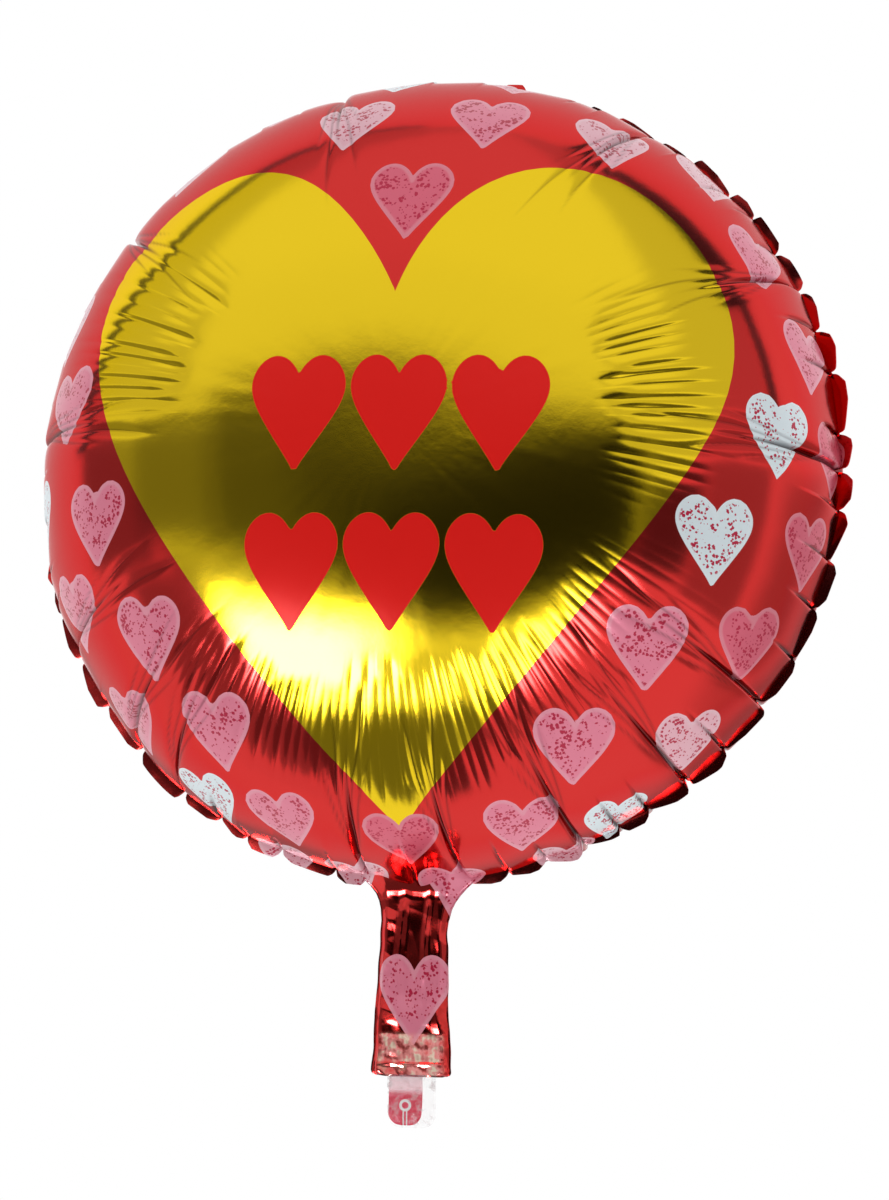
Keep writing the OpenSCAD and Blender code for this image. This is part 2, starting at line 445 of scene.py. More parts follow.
def disc_points(phi, sheet, side, seed):
    """Points of a filled disc, side -1 for the front and 1 for the back. The filled shape gives
    the place and the outward direction, and all heights go along that direction."""
    q = np.interp(sheet, sheet_table, q_table)
    out_radial = FILL * np.sin(q) ** 2
    out_axial = np.cos(q) * np.sqrt(1 + np.sin(q) ** 2)
    size = np.hypot(out_radial, out_axial)
    out_radial, out_axial = out_radial / size, out_axial / size
    near_rim = smooth(sheet, FLAT_R - 62, FLAT_R - 14)
    height = crease_shape(phi, sheet)[0] + pleat_height(phi, sheet, seed) + facet_tilt(phi, sheet)
    height = height + dent_height(phi, sheet, seed) * (1 - near_rim)
    height = height + corner_flat(phi) * near_rim
    funnel = 5.5 * np.exp(-((turn_gap(phi, -math.pi / 2) * RIM_R) / 15) ** 2)
    height = height + funnel * smooth(sheet, FLAT_R - 26, FLAT_R) ** 2
    radius = RIM_R * np.sin(q) + height * out_radial
    deep = FILL * (depth_table[-1] - np.interp(sheet, sheet_table, depth_table))
    y = side * (deep + height * out_axial)
    y = y + rim_wave(phi) * smooth(sheet, FLAT_R - 18, FLAT_R) ** 2
    return np.stack([radius * np.cos(phi), y, CENTRE_Z + radius * np.sin(phi)], -1)


# %% [markdown]
# ### From the formula to a mesh
# The creases and pleats are a millimetre or two wide, so the outer part of a
# disc needs a fine grid, while the calm middle doesn't. A single polar grid
# would also crowd its points at the centre. So each disc is a point, a
# coarse grid, a ring of wide faces, and a grid five times finer round it.

# %% Build both discs
COARSE, SPLIT = 300, 5                          # columns in the middle, and how many each becomes outside
middle_places = np.linspace(3, 80, 40)
outer_places = np.concatenate([np.linspace(82, PLEATED_TO, 22, endpoint=False),
                               np.linspace(PLEATED_TO, FLAT_R - 36, 8, endpoint=False),
                               np.linspace(FLAT_R - 36, FLAT_R, 25)])


def add_disc(name, side, seed):
    """One foil disc: a point, a coarse polar grid round it, and a fine one outside that for the
    pleats and creases. A ring of wide faces joins the two grids."""
    blocks = []
    for places, columns in ((middle_places, COARSE), (outer_places, COARSE * SPLIT)):
        angles = np.linspace(-math.pi, math.pi, columns, endpoint=False)
        blocks.append(np.meshgrid(places, angles, indexing="ij"))
    sheet = np.concatenate([[0]] + [block[0].ravel() for block in blocks])
    phi = np.concatenate([[0]] + [block[1].ravel() for block in blocks])
    front = side < 0
    here = np.arange(COARSE)
    beside = (here + 1) % COARSE
    cap = np.stack([0 * here, here + 1, beside + 1], -1)
    inner_ring = 1 + (len(middle_places) - 1) * COARSE
    outer_ring = 1 + len(middle_places) * COARSE
    fine = (here[:, None] * SPLIT + np.arange(SPLIT + 1)) % (COARSE * SPLIT) + outer_ring
    joining = np.concatenate([(beside + inner_ring)[:, None], (here + inner_ring)[:, None], fine], 1)
    if not front:
        cap, joining = cap[:, ::-1], joining[:, ::-1]
    coarse_faces = grid_faces(len(middle_places), COARSE, closed=True, flip=front) + 1
    fine_faces = grid_faces(len(outer_places), COARSE * SPLIT, closed=True, flip=front) + outer_ring
    thing = add_mesh(name, disc_points(phi, sheet, side, seed), cap, joining, coarse_faces, fine_faces)
    print_on(thing, -side * sheet * np.cos(phi), sheet * np.sin(phi))
    # painted shade inside the creases, which the material darkens the colour with
    set_values(thing, "fold", crease_shape(phi, sheet)[1])
    print(f"{name}: {len(thing.data.polygons)} faces")
    return thing


front_foil = add_disc("front_foil", -1, 40)
back_foil = add_disc("back_foil", 1, 60)

# %% [markdown]
# ## The welded margin
# Outside the weld both sheets lie flat together as one thin stiff strip. It
# can't shrink with the rim, so it folds over at each pinch: straight facets
# with a notch between them. In places the strip leans to the front or the
# back. It is one closed strip, thin as two films, and stops at the neck.

# %% Margin widths, leans and folds
MARGIN_T = 0.5                                  # thickness of the welded strip
NECK_GAP = math.radians(6.6)                    # half the gap the neck leaves in the margin
# angle, lean towards the back, and share of the full width, all in turn round the rim
margin_knots = np.array([
    [-180, 88, 0.8], [-170, 60, 0.75], [-163, 9, 0.56], [-135, 5, 0.56], [-100, 3, 0.5],
    [-75, 3, 0.45], [-60, 3, 0.46], [-12, 3, 0.42], [-7, -20, 0.6], [4, -40, 1.0],
    [19, -40, 1.0], [23, -12, 0.55], [28, -6, 0.42], [74, -7, 0.44], [86, 4, 0.5],
    [96, 60, 0.6], [104, 88, 0.8], [180, 88, 0.8]])


NOTCH = 0.42                                    # width left in the notch at a pinch


def margin_shape(phi):
    """Width and lean of the margin at each angle: slow changes round the rim, one step of its own
    for every facet, and a notch at every pinch."""
    degrees = np.degrees(turn_gap(phi, 0))
    lean = np.interp(degrees, margin_knots[:, 0], margin_knots[:, 1])
    width = SEAM_W * np.interp(degrees, margin_knots[:, 0], margin_knots[:, 2])
    facet = np.searchsorted(pinches, turn_gap(phi, 0)) % len(pinches)
    facet_rng = np.random.default_rng(77)
    lean = lean + facet_rng.uniform(-3, 3, len(pinches))[facet]
    full = facet_rng.uniform(0.65, 1.2, len(pinches))[facet]
    span = (pinches[facet] - pinches[facet - 1]) % (2 * math.pi)
    share = ((phi - pinches[facet - 1]) % (2 * math.pi)) / span
    climb = facet_rng.uniform(0.15, 0.7, len(pinches))[facet]
    fall = facet_rng.uniform(0.06, 0.3, len(pinches))[facet]
    rise = np.clip(np.minimum(share / climb, (1 - share) / fall), 0, 1)
    width = width * full * (NOTCH + (1 - NOTCH) * rise)
    return np.minimum(width, SEAM_W * 1.1), np.radians(lean)


# %% [markdown]
# ### The strip from its weld to its free edge
# The strip starts a little inside the weld, so that it joins both discs. From
# there each column runs out along its own lean, and half the thickness is
# added on each side of it. The same closed slab serves the neck and the
# valve films later.

# %% Build the margin
MARGIN_COLUMNS = 1800
margin_phi = np.linspace(-math.pi / 2 + NECK_GAP, 1.5 * math.pi - NECK_GAP, MARGIN_COLUMNS)
weld_line = disc_points(margin_phi, np.full(MARGIN_COLUMNS, FLAT_R), -1, 40)
margin_width, margin_lean = margin_shape(margin_phi)
across_margin = np.array([-0.12, 0.25, 0.6, 1.0])
reach = margin_width[:, None] * across_margin
ripple = soft_noise(margin_phi / (2 * math.pi) * 170, 0 * margin_phi + 7.5, 9, 170)
curl = 0.2 * ripple[:, None] * across_margin.clip(0)
lean_grid = margin_lean[:, None] + 0.04 * across_margin
out_grid = reach * np.cos(lean_grid)
y_grid = weld_line[:, 1:2] + reach * np.sin(lean_grid) + curl
outward = np.stack([np.cos(margin_phi), 0 * margin_phi, np.sin(margin_phi)], -1)
centre = np.array([0, 0, CENTRE_Z])
base_radius = ((weld_line - centre) * outward).sum(-1, keepdims=True)
spine = centre + outward[:, None, :] * (base_radius + out_grid)[..., None]
spine[..., 1] = y_grid
face_out = np.stack([-np.sin(lean_grid) * np.cos(margin_phi)[:, None], np.cos(lean_grid),
                     -np.sin(lean_grid) * np.sin(margin_phi)[:, None]], -1)


def add_slab(name, front, back):
    """A thin closed piece from two facing grids of points: the front seen from -Y with rows going
    down, the back, and the strip round their edges."""
    rows, columns = front.shape[:2]
    count = rows * columns
    front_faces = grid_faces(rows, columns, flip=True)
    back_faces = grid_faces(rows, columns) + count
    index = np.arange(count).reshape(rows, columns)
    edge = np.concatenate([index[0, :-1], index[:-1, -1], index[-1, :0:-1], index[:0:-1, 0]])
    after = np.roll(edge, -1)
    side_faces = np.stack([edge, after, after + count, edge + count], -1)
    points = np.concatenate([front.reshape(-1, 3), back.reshape(-1, 3)])
    thing = add_mesh(name, points, front_faces, back_faces, side_faces)
    thing.data.set_sharp_from_angle(angle=math.radians(35))
    return thing


margin_front = spine - face_out * MARGIN_T / 2
margin_back = spine + face_out * MARGIN_T / 2
rim_margin = add_slab("rim_margin", margin_front.swapaxes(0, 1), margin_back.swapaxes(0, 1))
margin_sheet = np.broadcast_to(FLAT_R + across_margin * SEAM_W, out_grid.shape).T
margin_angle = np.broadcast_to(margin_phi[:, None], out_grid.shape).T
margin_x, margin_z = [(margin_sheet * trig(margin_angle)).ravel() for trig in (np.cos, np.sin)]
print_on(rim_margin, np.concatenate([margin_x, -margin_x]), np.tile(margin_z, 2))
print(f"rim_margin: {len(rim_margin.data.polygons)} faces")

# %% [markdown]
# ## The neck
# The neck is the same two sheets, welded down both sides and left flat. It
# widens at the top, where it runs into the rim in a fillet, and a little
# towards its cut end. It has long upright folds, a crinkled band where it
# is welded to the valve, and crumpled foil below the band.

# %% Neck outline
neck_heights = np.array([6, 0, -3, -6, -9, -12, -17, -25, -45, -64, -72, -80])
neck_left = np.array([25, 23, 19.5, 17, 15.6, 14.8, 14.2, 14.4, 15.2, 15.6, 16.4, 17.0])
neck_right = np.array([26, 24, 21, 18.4, 16.4, 15, 14.0, 13.8, 14.6, 15.6, 15.8, 16.6])
BAND_LOW, BAND_HIGH = -75, -64                  # the weld to the valve
INNER_HALF = 1.55                               # room for the valve between the sheets
FOOT_CORNER = 2.2                               # rounding of the foot's corners
FILM_T = 0.2                                    # one film, drawn thicker than its real 0.03


def neck_side(z, across):
    """How far the neck reaches at a height: left for across below 0 and right above, with the
    foot's corners rounded."""
    half = np.where(across < 0, np.interp(z, neck_heights[::-1], neck_left[::-1]),
                    np.interp(z, neck_heights[::-1], neck_right[::-1]))
    low = np.clip(FOOT_CORNER - (z - NECK_END), 0, FOOT_CORNER)
    return half - (FOOT_CORNER - np.sqrt(FOOT_CORNER ** 2 - low ** 2))


def neck_lean(z):
    """The neck hangs a little to one side at its foot."""
    return 2.0 * smooth(-z, 5, 90) * (-z / 80)


# %% [markdown]
# ### Folds and crumples
# Film bends and doesn't stretch, so all that the flat neck shows is folds: a
# few long upright ones, small crinkles in the weld, and a foot crumpled two
# ways. Sums of zigzags at different angles give each of these sharp edges.

# %% Folds and crumples of the neck
# each upright fold's place, its wander to the side, its height and its half width
fold_lines = [(-9.4, 0.0, 1.0, 2.6), (-5.4, 1.3, 1.3, 1.9), (4.4, -0.6, 1.2, 2.6)]


def neck_relief(x, z, side, seed):
    """Height of one neck sheet above its rest: upright folds with sharp tops, a crinkled weld
    band, and a crumple of crossing sharp folds below it."""
    fade = smooth(-z, 2, 14) * (1 - smooth(-z, 58, 66))
    height = 0 * x
    for place, wander, high, width in fold_lines:
        line = side * place + wander * np.sin(z / 13 + place) + 0.06 * z * np.sign(place) * 0.4
        strength = high * (0.55 + 0.45 * np.sin(z / 19 + 2 * place))
        height = height + fade * strength * np.maximum(0, 1 - np.abs(x - line) / width)
    height = height + 0.2 * fade * soft_noise(x / 7 + 20, z / 22 + 90, seed)
    left = fade * smooth(side * x, 5.0, 9.5)
    height = height + left * (0.4 * zigzag(x, z, 1.15, 8.5, 0.3) + 0.3 * zigzag(x, z, 1.9, 13.0))
    band = smooth(z, BAND_LOW - 0.8, BAND_LOW + 0.6)
    band = band * (1 - smooth(z, BAND_HIGH - 0.6, BAND_HIGH + 0.8))
    ribs = 0.11 * zigzag(x, z, 0.08, 1.9) + 0.2 * zigzag(x, z, 0.5, 6.3, 0.3)
    height = height + band * (ribs + 0.2 * zigzag(x, z, 1.45, 5.0, 0.2))
    foot = 1 - smooth(z, BAND_LOW - 1.5, BAND_LOW + 0.5)
    height = height + foot * (0.5 * zigzag(x, z, 0.9, 7.6, 0.1) + 0.42 * zigzag(x, z, -0.6, 6.2, 0.6))
    ridge = 0.5 * (1 - smooth(np.abs(z - BAND_LOW + 0.5), 0, 1.3))
    height = height + ridge + 0.09 * np.clip(-z - 60, 0, 20)
    broad = 0.5 * zigzag(x, z, 0.3, 15, 0.45) + 0.38 * zigzag(x, z, 1.25, 17, 0.2)
    return height + fade * broad


def neck_sheet(name, side, seed):
    """One neck sheet, side -1 for the front and 1 for the back: a flat sheet that bulges to a soft
    cushion at the top and closes at its two welded edges."""
    across = np.sin(np.linspace(-math.pi / 2, math.pi / 2, 93))[None, :]
    z = np.linspace(5, NECK_END, 190)[:, None] + 0 * across
    across = across + 0 * z
    ragged = 0.45 * soft_noise(z / 7 + 90, 4 * np.sign(across) + 30, 37) * smooth(-z, 10, 24)
    x = across * (neck_side(z, across) + ragged)
    cushion = 9.5 * smooth(z, -9, 7) ** 1.2
    shoulder = 0.74 - 0.2 * smooth(z, -15, 5)
    body = (INNER_HALF + cushion) * (1 - smooth(np.abs(across), shoulder, 0.99)) + 0.25
    relief = neck_relief(x, z, side, seed) * (1 - smooth(np.abs(across), 0.82, 0.97))
    edge_wave = 0.8 * soft_noise(x / 9 + 30, z / 11 + 90, 33) * smooth(-z, 6, 30)
    outer = side * (body + relief) + edge_wave
    inner = outer - side * FILM_T
    depths = (outer, inner) if side < 0 else (inner, outer)
    thing = add_slab(name, *[np.stack([x + neck_lean(z), y, z], -1) for y in depths])
    gather = 1 + 0.18 * smooth(-z, 4, 22)            # the flat sheet is wider than the folded neck
    print_on(thing, np.tile(-side * (x * gather).ravel(), 2), np.tile(z.ravel() - FLAT_R, 2))
    # painted highlight: the weld band, paler along its ribs, and one side of the foot are painted pale by
    # the material
    band = smooth(z, BAND_LOW - 0.5, BAND_LOW + 1) * (1 - smooth(z, BAND_HIGH - 1, BAND_HIGH + 2))
    foot = 1 - smooth(z, BAND_LOW - 1, BAND_LOW)
    inner_part = 1 - smooth(np.abs(across), 0.7, 0.9)
    painted_glint_amount = band * (0.72 + 0.28 * zigzag(x, z, 0.08, 1.9))
    painted_glint_amount = painted_glint_amount + foot * (0.3 + 0.65 * smooth(-side * x, -4, 2))
    set_values(thing, "painted_glint", np.tile((inner_part * painted_glint_amount).ravel(), 2))
    print(f"{name}: {len(thing.data.polygons)} faces")
    return thing


neck_front_foil = neck_sheet("neck_front_foil", -1, 71)
neck_back_foil = neck_sheet("neck_back_foil", 1, 81)

# %% [markdown]
# ## The valve
# The valve is two narrow clear films welded along their sides. Gas goes in
# between them, and its own pressure then presses them shut. The back film
# is longer, so that a finger can find the mouth. A pinkish coat on it stops
# the weld of the neck from closing the way in, and it carries a small ring.

# %% Valve films
FILM_HALF = 10.0                                # half the width of the films
FILM_TOP = -10.0                                # they start below the fold under the rim
FRONT_END, LIP_TOP = -85.0, -85.4               # the front film is cut where the lip begins
WELD_W = 1.8


def film_grid(top, low, left, right, rows, columns=41, corner=0.0):
    """Places x and z of a sheet from top to low between two sides, with its lower corners rounded."""
    z = np.linspace(top, low, rows)[:, None]
    drop = np.clip(corner - (z - low), 0, corner)
    inset = corner - np.sqrt(corner ** 2 - drop ** 2)
    share = np.linspace(0, 1, columns)[None, :]
    return (left + inset) * (1 - share) + (right - inset) * share, z + 0 * share


def film_wave(x, z):
    """How far the films ripple to the front or the back. All the films share it, so that none
    cuts another. It grows below the neck and at the free side."""
    free = smooth(-z, 80, 90)
    ripple = 0.9 * (zigzag(x, z, 0.5, 9.0, 0.2) - 0.5) + 0.5 * (zigzag(x, z, 2.4, 5.5) - 0.5)
    side = 0.25 + 0.75 * smooth(x, 2, 8)
    return free * (side * ripple + 0.5 * soft_noise(x / 4 + 20, z / 5 + 90, 55))


def film_slab(name, y_front, y_back, grid):
    """A flat film between two depths, moved by the shared ripple and by the neck's lean."""
    x, z = grid
    wave = film_wave(x, z)
    points = [np.stack([x + neck_lean(z), y + wave, z], -1) for y in (y_front, y_back)]
    thing = add_slab(name, *points)
    set_uv(thing, np.tile(x.ravel(), 2), np.tile(z.ravel(), 2))
    return thing


back_grid = film_grid(FILM_TOP, TONGUE_END, -FILM_HALF, FILM_HALF, 240, 61, corner=5.5)
front_grid = film_grid(FILM_TOP, FRONT_END, -FILM_HALF, FILM_HALF, 160)
coat_grid = film_grid(-40, TONGUE_END + 1.0, -FILM_HALF + 0.6, 4.4, 150, 61, corner=5.2)
left_grid = film_grid(FILM_TOP, FRONT_END, -FILM_HALF, -FILM_HALF + WELD_W, 120, 5)
right_grid = film_grid(FILM_TOP, FRONT_END, FILM_HALF - WELD_W, FILM_HALF, 120, 5)
lip_grid = film_grid(LIP_TOP, TONGUE_END + 1.6, -FILM_HALF + 0.5, FILM_HALF - 0.5, 60, 61, corner=5.0)
valve_back_sheet = film_slab("valve_back_sheet", 0.33, 0.72, back_grid)
valve_front_sheet = film_slab("valve_front_sheet", -0.72, -0.33, front_grid)
release_layer = film_slab("release_layer", 0.08, 0.32, coat_grid)
left_weld = film_slab("valve_left_weld", -0.32, 0.07, left_grid)
right_weld = film_slab("valve_right_weld", -0.32, 0.32, right_grid)
front_lip_sheet = film_slab("front_lip_sheet", -0.72, -0.33, lip_grid)
valve_pieces = [valve_back_sheet, valve_front_sheet, release_layer, left_weld, right_weld, front_lip_sheet]
print(f"{len(valve_pieces)} valve pieces")

# %% [markdown]
# ## Materials
# Each material starts from the real thing: film with metal behind tinted
# ink, the same film under solid ink, clear film, and a thin painted coat.
# The foil's colour lives in its reflections, so the gold and the red are
# metal and the pink, the white and the solid red are ink over it.

# %% Node helper and colours
def linear(hex_colour):
    """An sRGB hex colour as linear light with full alpha."""
    parts = [int(hex_colour[i:i + 2], 16) / 255 for i in (0, 2, 4)]
    return tuple(c / 12.92 if c <= 0.04045 else ((c + 0.055) / 1.055) ** 2.4 for c in parts) + (1,)


def node(tree, kind, inputs=(), out=0, **settings):
    """Adds a shader node and gives one of its outputs. Settings go to the node's properties.
    Inputs are numbers, colours or links, as a list in the node's own order or as a dictionary."""
    made = tree.nodes.new("ShaderNode" + kind)
    for name, value in settings.items():
        setattr(made, name, value)
    for key, value in inputs.items() if isinstance(inputs, dict) else enumerate(inputs):
        if isinstance(value, bpy.types.NodeSocket):
            tree.links.new(value, made.inputs[key])
        else:
            made.inputs[key].default_value = value
    return made.outputs[out] if len(made.outputs) else made


SOFT = {"interpolation_type": "SMOOTHSTEP"}     # a Map Range that starts and ends smoothly
COLOURS = {"out": 2, "data_type": "RGBA"}       # a Mix of colours: its inputs are 0, 6 and 7


def new_material(name):
    """An empty material with its output, and its node tree."""
    material = bpy.data.materials.new(name)
    material.use_nodes = True
    material.node_tree.nodes.clear()
    return material, material.node_tree


# %% [markdown]
# ### Printed metallised film
# Real film is about 0.03 mm of nylon with aluminium on one face and ink on
# the other. Clear ink over metal gives a coloured mirror, so the eye gets
# hard-edged bands of the room in red or gold. White ink under the small
# hearts hides most of the mirror and leaves a satin sheen. The film's fine
# crinkle breaks up the edges of the reflections a little.

# %% Printed foil
# the two tone numbers between which each ink takes over from the plain pink
tone_inks = ((0.25, 0.55, "F2BCC8"), (0.7, 0.9, "E9F4FA"), (-0.1, -0.4, "E2687E"))


def printed_foil(name, crinkle, gloss):
    """The printed film, from 0 hazy to 1 glossy. The stored edge distances cut the shapes, and
    noises in millimetres on the flat sheet make the ink's specks and the film's crinkle."""
    material, tree = new_material(name)
    place = node(tree, "UVMap", uv_map="sheet_mm")
    kept = {key: node(tree, "Attribute", out="Fac", attribute_name=key)
            for key in ("gold_edge", "motif_edge", "small_edge", "small_tone", "fold", "painted_glint")}
    gold, motif, small = [node(tree, "MapRange", [kept[key], 0.12, -0.12], **SOFT)
                          for key in ("gold_edge", "motif_edge", "small_edge")]
    tone = kept["small_tone"]

    # specks: dots 1 to 2 mm across with ragged edges, in clusters some 8 mm apart
    dots = node(tree, "TexVoronoi", {"Vector": place, "Scale": 0.62}, out="Distance")
    ragged = node(tree, "TexNoise", {"Vector": place, "Scale": 1.3, "Detail": 2.0})
    cluster = node(tree, "TexNoise", {"Vector": place, "Scale": 0.13, "Detail": 2.0})
    dot_size = node(tree, "MapRange", [cluster, 0.34, 0.62, 0.3, 0.71], **SOFT)
    dot_field = node(tree, "Math", [ragged, 0.7, dots], operation="MULTIPLY_ADD")
    room_left = node(tree, "Math", [dot_field, dot_size], operation="SUBTRACT")
    well_inside = node(tree, "MapRange", [kept["small_edge"], -1.2, -2.4], **SOFT)
    dot = node(tree, "MapRange", [room_left, 0.16, 0.1], **SOFT)
    specks = node(tree, "Math", [dot, well_inside], operation="MULTIPLY")

    # a small heart: its tone, a paler outline, and the specks
    heart_ink = linear("F08AA2")
    for low, high, ink in tone_inks:
        share = node(tree, "MapRange", [tone, low, high], **SOFT)
        heart_ink = node(tree, "Mix", {0: share, 6: heart_ink, 7: linear(ink)}, **COLOURS)
    outline_ink = node(tree, "Mix", {0: 0.12, 6: heart_ink, 7: linear("FFFFFF")}, **COLOURS)
    heart_ink = node(tree, "Mix", {0: well_inside, 6: outline_ink, 7: heart_ink}, **COLOURS)
    heart_ink = node(tree, "Mix", {0: specks, 6: heart_ink, 7: linear("C02848")}, **COLOURS)

    # painted highlight on the neck: in patches, its weld band and one side of its foot turn pale
    # pink-white and cream
    patchy = node(tree, "TexNoise", {"Vector": place, "Scale": 0.22, "Detail": 3.0})
    patches = node(tree, "MapRange", [patchy, 0.36, 0.5, 0.35, 1.0], **SOFT)
    painted_glint = node(tree, "Math", [kept["painted_glint"], patches], operation="MULTIPLY")
    milky = node(tree, "MapRange", [patchy, 0.52, 0.6], **SOFT)
    painted_glint_colour = node(tree, "Mix", {0: milky, 6: linear("FFA6A2"), 7: linear("FFEBD2")}, **COLOURS)

    # the colours lie over each other from the clear red, through the painted shade in the creases, up to
    # the painted highlight on the neck
    colour = linear("D62420")
    # painted shade: the colour goes to a dark maroon where a crease is closed
    painted_crease_shade = node(tree, "Math", [kept["fold"], 0.9], operation="MULTIPLY")
    for share, ink in ((gold, linear("F2CE1C")), (small, heart_ink), (motif, linear("F22420")),
                       (painted_crease_shade, linear("2A0606")), (painted_glint, painted_glint_colour)):
        colour = node(tree, "Mix", {0: share, 6: colour, 7: ink}, **COLOURS)

    # solid ink and the painted highlight hide the metal, and ink is rougher than the film without ink
    cover = node(tree, "MapRange", [tone, -0.4, -0.1, -0.62, -0.88], **SOFT)
    metal = node(tree, "Math", [small, cover, 1.0], operation="MULTIPLY_ADD")
    metal = node(tree, "Math", [motif, -0.92, metal], operation="MULTIPLY_ADD")
    clear_of_painted_glint = node(tree, "Math", [painted_glint, -0.97, 1.0], operation="MULTIPLY_ADD")
    metal = node(tree, "Math", [metal, clear_of_painted_glint], operation="MULTIPLY")
    ink = node(tree, "Math", [small, motif], operation="MAXIMUM")
    rough = node(tree, "MapRange", [ink, 0.0, 1.0, 0.13, 0.3], **SOFT)
    varnish = node(tree, "Math", [gold, -0.3, 0.5 + 0.1 * gloss], operation="MULTIPLY_ADD")
    fine = node(tree, "TexNoise", {"Vector": place, "Scale": crinkle, "Detail": 4.0, "Roughness": 0.55})
    bump = node(tree, "Bump", {"Strength": 0.06, "Distance": 0.0006, "Height": fine})
    shader = node(tree, "BsdfPrincipled", {
        "Base Color": colour, "Specular Tint": colour, "Metallic": metal, "Roughness": rough,
        "Coat Weight": varnish, "Coat Roughness": 0.2 - 0.1 * gloss, "Normal": bump})
    node(tree, "OutputMaterial", {"Surface": shader})
    return material


taut_foil = printed_foil("printed_metallised_nylon_taut", 0.16, 0.0)
loose_foil = printed_foil("printed_metallised_nylon_loose", 0.5, 1.0)

# %% [markdown]
# ### Clear film and the release coat
# The valve is clear polythene: almost nothing of it shows but its folds and edges, where it turns milky.
# The coat is a thin pink lacquer, see-through at its thin spots, with one plain white ring printed on it.
# Its top is painted a paler pink, a painted highlight.

# %% Clear film
def clear_film():
    """Clear polythene, mostly see-through, with milky crinkles about 5 mm across."""
    material, tree = new_material("clear_polythene_film")
    place = node(tree, "UVMap", uv_map="sheet_mm")
    cloud = node(tree, "TexNoise", {"Vector": place, "Scale": 0.22, "Detail": 3.0, "Roughness": 0.6})
    alpha = node(tree, "MapRange", [cloud, 0.5, 0.66, 0.04, 0.22], **SOFT)
    bump = node(tree, "Bump", {"Strength": 0.5, "Distance": 0.0006, "Height": cloud})
    shader = node(tree, "BsdfPrincipled", {
        "Base Color": linear("FFF4F6"), "Roughness": 0.12, "Alpha": alpha, "Normal": bump})
    node(tree, "OutputMaterial", {"Surface": shader})
    return material


RING_PLACE, RING_R = (-2.5, -92, 0), 1.9        # the white ring's middle on the film, and its radius


def coat_lacquer():
    """Thin pink lacquer with a plain white ring and thin white guide lines: each is the distance
    from its middle, less its radius or half its spacing, cut to a thin band."""
    material, tree = new_material("pink_release_lacquer")
    place = node(tree, "UVMap", uv_map="sheet_mm")
    x, z = [node(tree, "SeparateXYZ", [place], out=axis) for axis in (0, 1)]
    away = node(tree, "VectorMath", [place, RING_PLACE], out="Value", operation="DISTANCE")
    from_middle = node(tree, "Math", [x, -RING_PLACE[0]], operation="ADD")
    aside = node(tree, "Math", [from_middle], operation="ABSOLUTE")
    bands = []
    for distance, middle, outside, inside in ((away, RING_R, 0.62, 0.5), (aside, 0.7, 0.32, 0.2)):
        gap = node(tree, "Math", [distance, middle], operation="SUBTRACT")
        gap = node(tree, "Math", [gap], operation="ABSOLUTE")
        bands.append(node(tree, "MapRange", [gap, outside, inside], **SOFT))
    ring, lines = bands
    below_ring = node(tree, "MapRange", [z, -93.9, -94.3], **SOFT)
    lines = node(tree, "Math", [lines, below_ring], operation="MULTIPLY")
    white = node(tree, "Math", [ring, lines], operation="MAXIMUM")
    cloud = node(tree, "TexNoise", {"Vector": place, "Scale": 0.4, "Detail": 4.0})
    cloudy = node(tree, "MapRange", [cloud, 0.45, 0.7], **SOFT)
    # painted highlight: the top of the coat is painted a paler pink
    upper = node(tree, "MapRange", [z, -88, -85], **SOFT)
    colour = linear("F0264F")
    for share, ink in ((cloudy, "FF6E8E"), (upper, "FF8FA8"), (white, "FFFFFF")):
        colour = node(tree, "Mix", {0: share, 6: colour, 7: linear(ink)}, **COLOURS)
    alpha = node(tree, "MapRange", [z, -89, -85, 0.9, 0.3], **SOFT)
    shader = node(tree, "BsdfPrincipled", {"Base Color": colour, "Roughness": 0.3, "Alpha": alpha})
    node(tree, "OutputMaterial", {"Surface": shader})
    return material


film_material, lacquer = clear_film(), coat_lacquer()


def paint(material, *things):
    """Gives a material to each thing in place of any it had."""
    for thing in things:
        thing.data.materials.clear()
        thing.data.materials.append(material)


paint(taut_foil, front_foil, back_foil, rim_margin)
paint(loose_foil, neck_front_foil, neck_back_foil)
paint(film_material, valve_back_sheet, valve_front_sheet, left_weld, right_weld, front_lip_sheet)
paint(lacquer, release_layer)
hidden_films = [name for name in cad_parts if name.startswith("sleeve") or name == "neck_weld"]
paint(film_material, *[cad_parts[name] for name in hidden_films])
print("CAD nodes kept inside:", ", ".join(hidden_films))

# %% [markdown]
# ## Which piece goes with which part
# The discs and the welded margin follow the CAD body of the balloon. The neck and the valve pieces keep
# their places as built. The CAD nodes that each piece stands for are hidden.

# %% Attach the pieces
for thing in (front_foil, back_foil, rim_margin):
    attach(thing, "balloon")
for thing in (neck_front_foil, neck_back_foil):
    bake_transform(thing)
for thing in (valve_back_sheet, valve_front_sheet, release_layer, left_weld, right_weld):
    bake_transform(thing)
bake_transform(front_lip_sheet)

for thing, nodes, finish in (
        (front_foil, ["front_panel"], "front_foil"),
        (back_foil, ["back_panel"], "back_foil"),
        (rim_margin, ["rim_seam"], "sealed_foil"),
        (neck_front_foil, ["neck_front"], "neck_foil"),
        (neck_back_foil, ["neck_back"], "neck_foil"),
        (valve_back_sheet, ["valve_back_film", "tongue_back_film"], "valve_film"),
        (valve_front_sheet, ["valve_front_film", "tongue_front_film"], "valve_film"),
        (release_layer, ["release_coat", "tongue_coat"], "release_coat"),
        (left_weld, ["valve_side_welds", "tongue_side_welds"], "valve_weld"),
        (right_weld, ["valve_side_welds", "tongue_side_welds"], "valve_weld"),
        (front_lip_sheet, ["front_lip"], "valve_film")):
    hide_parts(*nodes)

# %% [markdown]
# ## The studio
# A mirror shows its room, so the room is part of the look. The walls behind
# the balloon and beside it are pale, a dark gap runs in front of it where
# nobody lit the room, a bright wall stands above the gap, and two softboxes
# sit low in front. It is all a pattern on the sky, so it stays far away.

